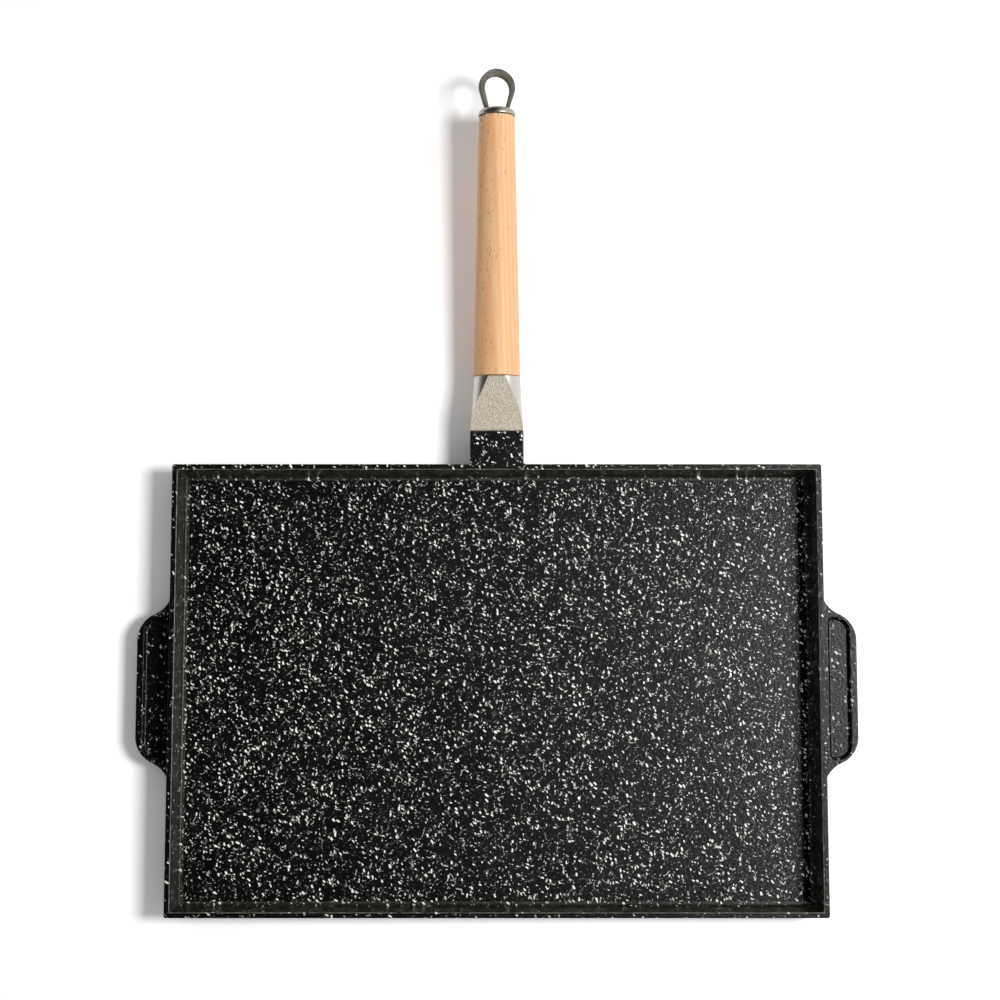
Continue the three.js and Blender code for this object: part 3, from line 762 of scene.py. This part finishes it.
def rod_rings():
    """The rod turned about the handle line, with a triangular ridge wound round each end: the radius
    falls by the distance from the ridge, which climbs one pitch in each turn and runs out to nothing."""
    turn = np.linspace(0, 2 * np.pi, ROD_STEPS, endpoint=False)
    threaded = np.linspace(0, THREAD_LENGTH, int(THREAD_LENGTH / THREAD_PITCH) * STATIONS_PER_PITCH + 1)
    along = np.concatenate([ROD_FOOT + threaded, ROD_TOP - threaded[::-1]])[:, None]
    from_end = np.minimum(along - ROD_FOOT, ROD_TOP - along)
    phase = along / THREAD_PITCH + turn / (2 * np.pi)
    ridge = np.abs(phase - np.round(phase)) * 2
    fade = np.clip((THREAD_LENGTH - from_end) / THREAD_RUN_OUT, 0, 1)
    cone = np.clip(ROD_CHAMFER - from_end, 0, None)
    return turned_rings(ROD_RADIUS - np.maximum(THREAD_DEPTH * ridge * fade, cone), along[:, 0], ROD_STEPS)


def plated_steel():
    """Zinc plating: bright, with a faint blotchy passivation."""
    material, place = finish("plated_steel")
    blotch = place.noise(scale=0.25, detail=4.0)
    coat(place, Base_Color=blotch.tint(ZINC_GREY, ZINC_PALE), Metallic=1.0, Roughness=blotch * 0.2 + 0.25,
         Normal=place.noise(scale=2.5).bump(0.03 * MM))
    return material


rod = new_piece("threaded_rod", closed_skin(rod_rings()))
rod.data.materials.append(plated_steel())
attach(rod, "pan")
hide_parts("tie_rod")

# The spring washer: a square bar of hardened steel bent round the rod and cut through, with its ends
# sprung apart. It lies in the grip's pocket under the loop's spigot.

WASHER_FOOT = POCKET_FLOOR + SEAT_GAP
WASHER_INNER = CLEAR_RADIUS
WASHER_OUTER = 5.85 * MM
WASHER_THICKNESS = 1.6 * MM
WASHER_SPLIT = math.radians(14)
WASHER_RISE = 0.5 * MM
WASHER_EDGE = 0.2 * MM
WASHER_STEPS = 72
BLACKED_STEEL = (0.08, 0.08, 0.085, 1)
RUBBED_STEEL = (0.2, 0.2, 0.21, 1)


def washer_rings():
    """A round-edged bar section carried round the rod, climbing evenly from one cut to the other."""
    share = np.linspace(0, 1, WASHER_STEPS + 1)[:, None]
    turn = WASHER_SPLIT / 2 + (2 * np.pi - WASHER_SPLIT) * share
    half_bar = np.array([(WASHER_OUTER - WASHER_INNER) / 2])
    half_thick = np.array([WASHER_THICKNESS / 2])
    bar, thick = rectangle_rings(half_bar, half_thick, np.array([WASHER_EDGE]))
    radius = (WASHER_OUTER + WASHER_INNER) / 2 + bar
    along = WASHER_FOOT + WASHER_THICKNESS / 2 + WASHER_RISE * share - thick
    return on_handle(radius * np.sin(turn), along, radius * np.cos(turn))


def spring_steel():
    """Oil-blackened steel with brighter rubs."""
    material, place = finish("spring_steel")
    rub = place.noise(scale=0.9, detail=3.0).step(0.45, 0.7)
    coat(place, Base_Color=rub.tint(BLACKED_STEEL, RUBBED_STEEL), Metallic=1.0, Roughness=0.5 - rub * 0.15,
         Normal=place.noise(scale=3.0).bump(0.03 * MM))
    return material


washer = new_piece("split_washer", closed_skin(washer_rings()))
washer.data.materials.append(spring_steel())
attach(washer, "washer")
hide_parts("spring_washer")

# The hanging loop: one dark casting, a domed collar with a flat horseshoe standing on it and a
# spigot below. The spigot is tapped and screwed onto the rod, so the horseshoe stands wherever the
# thread tightened.

COLLAR_HEIGHT = 5.1 * MM
COLLAR_FOOT = GRIP_END + SEAT_GAP
COLLAR_TOP = COLLAR_FOOT + COLLAR_HEIGHT
SPIGOT_LENGTH = 12 * MM
SPIGOT_END = COLLAR_FOOT - SPIGOT_LENGTH
SPIGOT_RADIUS = 7 * MM
TAPPED_RADIUS = 3.15 * MM
TAPPED_ROOF = 2.5 * MM
TAPPED_END = COLLAR_TOP - TAPPED_ROOF
COLLAR_RADIUS = 13.15 * MM
COLLAR_SKIRT = 1 * MM
COLLAR_EDGE = 0.4 * MM
LOOP_HEIGHT = 28.4 * MM
LOOP_THICKNESS = 5 * MM
LOOP_OUTER_RADIUS = 12.8 * MM
LOOP_CROWN = 5 * MM
LOOP_SIDE = 3.5 * MM
LOOP_LEG = 2.4 * MM
LOOP_STANCE = 8.2 * MM
LOOP_FOOT_SINK = 1.2 * MM
LOOP_EDGE = 0.5 * MM
LOOP_CLOCKING = math.radians(14)
LEG_STEPS = 16
BOW_STEPS = 72
DOME_STEPS = 16
CAST_BLACK = (0.06, 0.058, 0.047, 1)
CAST_GREY = (0.16, 0.155, 0.13, 1)
TURNED_GREY = (0.34, 0.31, 0.27, 1)
TURNED_PALE = (0.46, 0.43, 0.39, 1)


def collar_rings():
    """The collar and spigot turned about the handle line: down the tapped hole's wall, out and up round
    the spigot, then a short skirt and a dome that is a quarter ellipse."""
    top_radius = math.hypot(LOOP_STANCE, LOOP_THICKNESS / 2)
    dome = np.linspace(0, np.pi / 2, DOME_STEPS + 1)
    radius = np.concatenate([
        [TAPPED_RADIUS, TAPPED_RADIUS, SPIGOT_RADIUS, SPIGOT_RADIUS],
        COLLAR_RADIUS - COLLAR_EDGE * (1 - np.sin(quarter)),
        top_radius + (COLLAR_RADIUS - top_radius) * np.cos(dome),
    ])
    along = np.concatenate([
        [TAPPED_END, SPIGOT_END, SPIGOT_END, COLLAR_FOOT],
        COLLAR_FOOT + COLLAR_EDGE * (1 - np.cos(quarter)),
        COLLAR_FOOT + COLLAR_SKIRT + (COLLAR_HEIGHT - COLLAR_SKIRT) * np.sin(dome),
    ])
    return turned_rings(radius, along, ROUND_STEPS)


def bow_edge(stance, centre, radius):
    """One edge of the horseshoe in its own plane: a straight leg from the foot to where it touches the
    bow's circle, the bow, and the other leg."""
    drop = centre + LOOP_FOOT_SINK
    touch = math.atan2(-drop, stance) + math.acos(radius / math.hypot(stance, drop))
    bow = np.linspace(touch, np.pi - touch, BOW_STEPS + 1)
    x = radius * np.cos(bow)
    y = centre + radius * np.sin(bow)
    leg = np.linspace(0, 1, LEG_STEPS, endpoint=False)
    leg_x = stance + (x[0] - stance) * leg
    leg_y = -LOOP_FOOT_SINK + (y[0] + LOOP_FOOT_SINK) * leg
    return np.concatenate([leg_x, x, -leg_x[::-1]]), np.concatenate([leg_y, y, leg_y[::-1]])


def horseshoe_rings():
    """A round-edged bar carried from foot to foot between the horseshoe's inner and outer edges, and
    turned about the handle line by the clocking. Its thickness counts downwards, so that its faces
    point outwards."""
    inner_radius = LOOP_OUTER_RADIUS - LOOP_SIDE
    outer_x, outer_y = bow_edge(LOOP_STANCE, LOOP_HEIGHT - LOOP_OUTER_RADIUS, LOOP_OUTER_RADIUS)
    inner_centre = LOOP_HEIGHT - LOOP_CROWN - inner_radius
    inner_x, inner_y = bow_edge(LOOP_STANCE - LOOP_LEG, inner_centre, inner_radius)
    width = np.hypot(outer_x - inner_x, outer_y - inner_y)
    half = width / 2
    edge = np.full_like(half, LOOP_EDGE)
    bar, thick = rectangle_rings(half, np.full_like(half, LOOP_THICKNESS / 2), edge)
    out_x = ((outer_x - inner_x) / width)[:, None]
    out_y = ((outer_y - inner_y) / width)[:, None]
    x = ((outer_x + inner_x) / 2)[:, None] + bar * out_x
    along = COLLAR_TOP + ((outer_y + inner_y) / 2)[:, None] + bar * out_y
    turned_x = x * math.cos(LOOP_CLOCKING) - thick * math.sin(LOOP_CLOCKING)
    turned_z = -thick * math.cos(LOOP_CLOCKING) - x * math.sin(LOOP_CLOCKING)
    return on_handle(turned_x, along, turned_z)


def dark_casting():
    """Dark casting, rough as it left the mould on the horseshoe and turned bright on the collar."""
    material, place = finish("dark_casting")
    along = along_handle(place).axis("Y")
    turned = along.step(COLLAR_TOP / MM + 0.4, COLLAR_TOP / MM - 0.2)
    skin = place.noise(scale=0.7, detail=4.0, roughness=0.6)
    rub = place.noise(scale=0.12, detail=3.0).step(0.4, 0.7)
    rough_colour = (skin * 0.5 + rub * 0.5).tint(CAST_BLACK, CAST_GREY)
    turned_colour = skin.tint(TURNED_GREY, TURNED_PALE)
    coat(place, Base_Color=turned.tint(rough_colour, turned_colour), Metallic=1.0,
         Roughness=skin * 0.14 + 0.5 - turned * 0.24, Normal=skin.bump(0.12 * MM))
    return material


loop = new_piece("screw_loop", closed_skin(collar_rings()))
unite(loop, [new_piece("horseshoe", closed_skin(horseshoe_rings()))], sharp=35)
shade_flats(loop)
loop.data.materials.append(dark_casting())
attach(loop, "loop")
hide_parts("hanging_loop")

# The stage: a white floor under the pan, one near light to the right, a surround that is dark on the
# left where metal mirrors it, and a camera nearly square to the cooking floor.

FLOOR_REACH = 30.0
FLOOR_COLOUR = (0.9, 0.9, 0.905, 1)
FLOOR_COLOUR_SEEN = (1.3, 1.3, 1.31, 1)
WHITE = (1, 1, 1, 1)
FADE_START = 420.0
FADE_END = 1200.0
SKY_LIGHT = 0.35
MIRRORED_LEFT = 0.02
MIRRORED_RIGHT = 1.0
MIRROR_RAMP = (0.2, 0.5)
HORIZON_GLOW = 0.12
HORIZON_RAMP = (0.5, 0.1)
KEY_PLACE = (1.11, 0.1, 1.7)
KEY_SIZE = (0.55, 0.45)
KEY_POWER = 31.0
AIM = (0.0, 0.1, 0.0)
CAMERA_PLACE = (0.0022, -0.0075, 1.28)
CAMERA_PITCH = math.radians(6.25)
CAMERA_LENS = 65.47


def ray_kinds(place):
    """Two outputs: 1 for rays by which the background is seen, straight, mirrored or through glass,
    and 1 for the mirrored ones alone."""
    straight = place.node("ShaderNodeLightPath", output="Is Camera Ray")
    mirrored = straight.other("Is Glossy Ray")
    return straight + mirrored + straight.other("Is Transmission Ray"), mirrored


floor_corners = np.array([[-1, -1, 0], [1, -1, 0], [1, 1, 0], [-1, 1, 0]]) * FLOOR_REACH
floor = new_piece("floor", (floor_corners, [[0, 1, 2, 3]]))
floor_material, spot = finish("floor_white")
seen = ray_kinds(spot)[0]
away = spot.vector("LENGTH", (0, 0, 0), "Value").step(FADE_START, FADE_END)
matt = spot.node("ShaderNodeBsdfDiffuse", None, {"Color": seen.tint(FLOOR_COLOUR, FLOOR_COLOUR_SEEN)})
white = spot.node("ShaderNodeEmission", None, {"Color": WHITE, "Strength": 1.0})
surface = spot.node("ShaderNodeMixShader", None, {0: away * seen, 1: matt, 2: white})
spot.node("ShaderNodeOutputMaterial", None, {"Surface": surface})
floor.data.materials.append(floor_material)

world = bpy.data.worlds.new("studio")
world.use_nodes = True
world.node_tree.nodes.clear()
sky = Wire(world.node_tree).node("ShaderNodeTexCoord", output="Generated")
sky_seen, in_mirror = ray_kinds(sky)
sideways = sky.axis("X")
horizon = sideways.other("Z").step(*HORIZON_RAMP) * HORIZON_GLOW
surround = sideways.step(*MIRROR_RAMP) * (MIRRORED_RIGHT - MIRRORED_LEFT) + MIRRORED_LEFT
shown = in_mirror * surround.most(horizon) + (1 - in_mirror)
strength = sky_seen * shown + (1 - sky_seen) * SKY_LIGHT
background = sky.node("ShaderNodeBackground", None, {"Color": WHITE, "Strength": strength})
sky.node("ShaderNodeOutputWorld", None, {"Surface": background})
bpy.context.scene.world = world

lamp_data = bpy.data.lights.new("window", "AREA")
lamp_data.shape = "RECTANGLE"
lamp_data.size, lamp_data.size_y = KEY_SIZE
lamp_data.energy = KEY_POWER
lamp = bpy.data.objects.new("window", lamp_data)
lamp.location = KEY_PLACE
lamp_back = (Vector(KEY_PLACE) - Vector(AIM)).normalized()
lamp_right = Vector((0, 1, 0)).cross(lamp_back).normalized()
lamp.rotation_euler = Matrix((lamp_right, lamp_back.cross(lamp_right), lamp_back)).transposed().to_euler()
bpy.context.scene.collection.objects.link(lamp)

camera_data = bpy.data.cameras.new("front")
camera_data.lens = CAMERA_LENS
camera = bpy.data.objects.new("front", camera_data)
camera.location = CAMERA_PLACE
camera.rotation_euler = (CAMERA_PITCH, 0, 0)
bpy.context.scene.collection.objects.link(camera)
bpy.context.scene.camera = camera
bpy.context.scene.view_settings.view_transform = "Standard"
